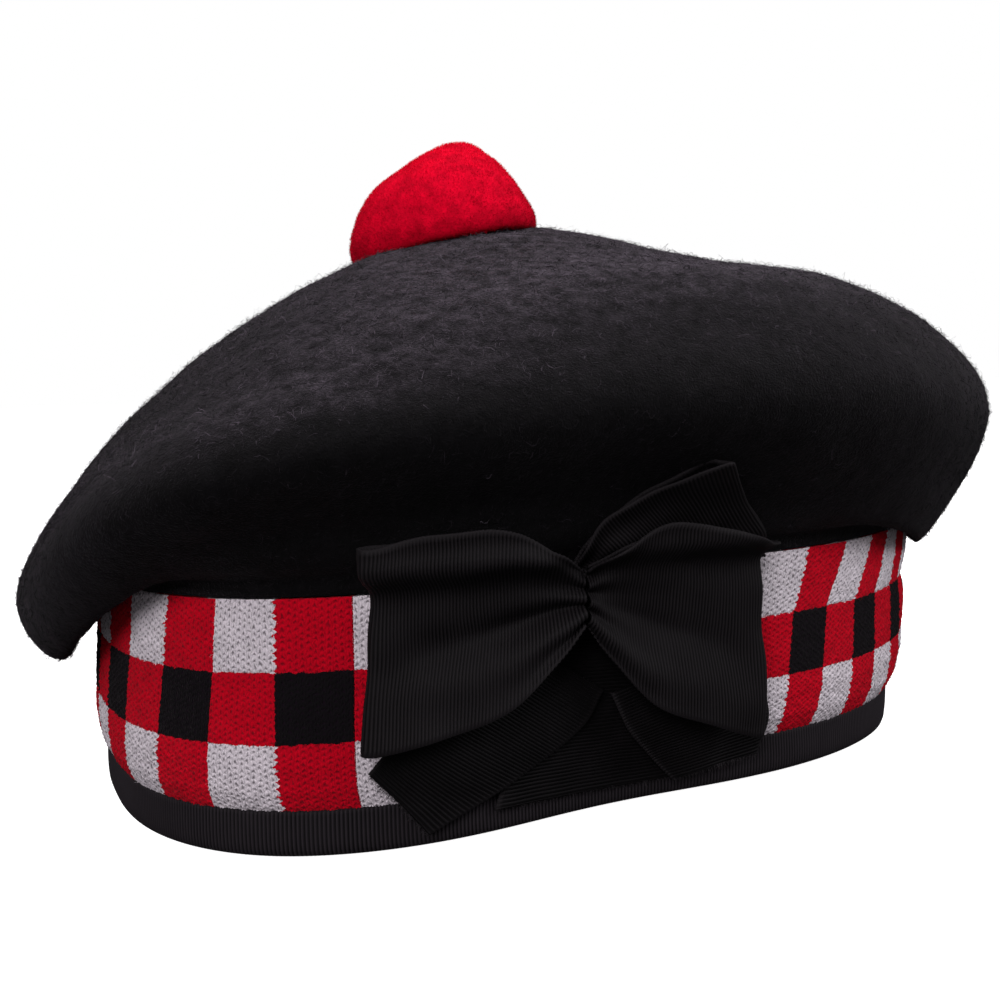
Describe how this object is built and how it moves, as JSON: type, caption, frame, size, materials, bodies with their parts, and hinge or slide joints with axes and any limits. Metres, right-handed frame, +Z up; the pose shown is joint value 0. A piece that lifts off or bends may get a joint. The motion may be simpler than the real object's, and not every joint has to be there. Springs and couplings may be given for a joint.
{
  "type": "balmoral bonnet",
  "caption": "Soft round felt bonnet with an overhanging crown, a diced knitted band, a ribbon-bound rim, a wool pompom on top and a flat ribbon bow on the wearer's left.",
  "frame": {"origin": "on the plane that the rim rests on, under the middle of the hat's overall box", "axes": "+Z up out of the head opening, front of the hat towards -Y, wearer's left side with the bow towards +X"},
  "size_m": [0.1998, 0.2534, 0.1428],
  "materials": {
    "black_felt": "matt felted wool with a short nap",
    "diced_knit": "fine wool knit in red, black and off-white dice",
    "black_ribbon": "ribbed grosgrain ribbon with a low sheen",
    "red_wool": "dense clipped wool pile"
  },
  "bodies": {
    "root": {"crown": "black_felt", "diced_band": "diced_knit", "edge_binding": "black_ribbon", "toorie": "red_wool", "bow_front_loop": "black_ribbon", "bow_back_loop": "black_ribbon", "bow_upper_loop": "black_ribbon", "bow_centre_tail": "black_ribbon", "bow_front_tail": "black_ribbon", "bow_back_tail": "black_ribbon"}
  },
  "joints": []
}
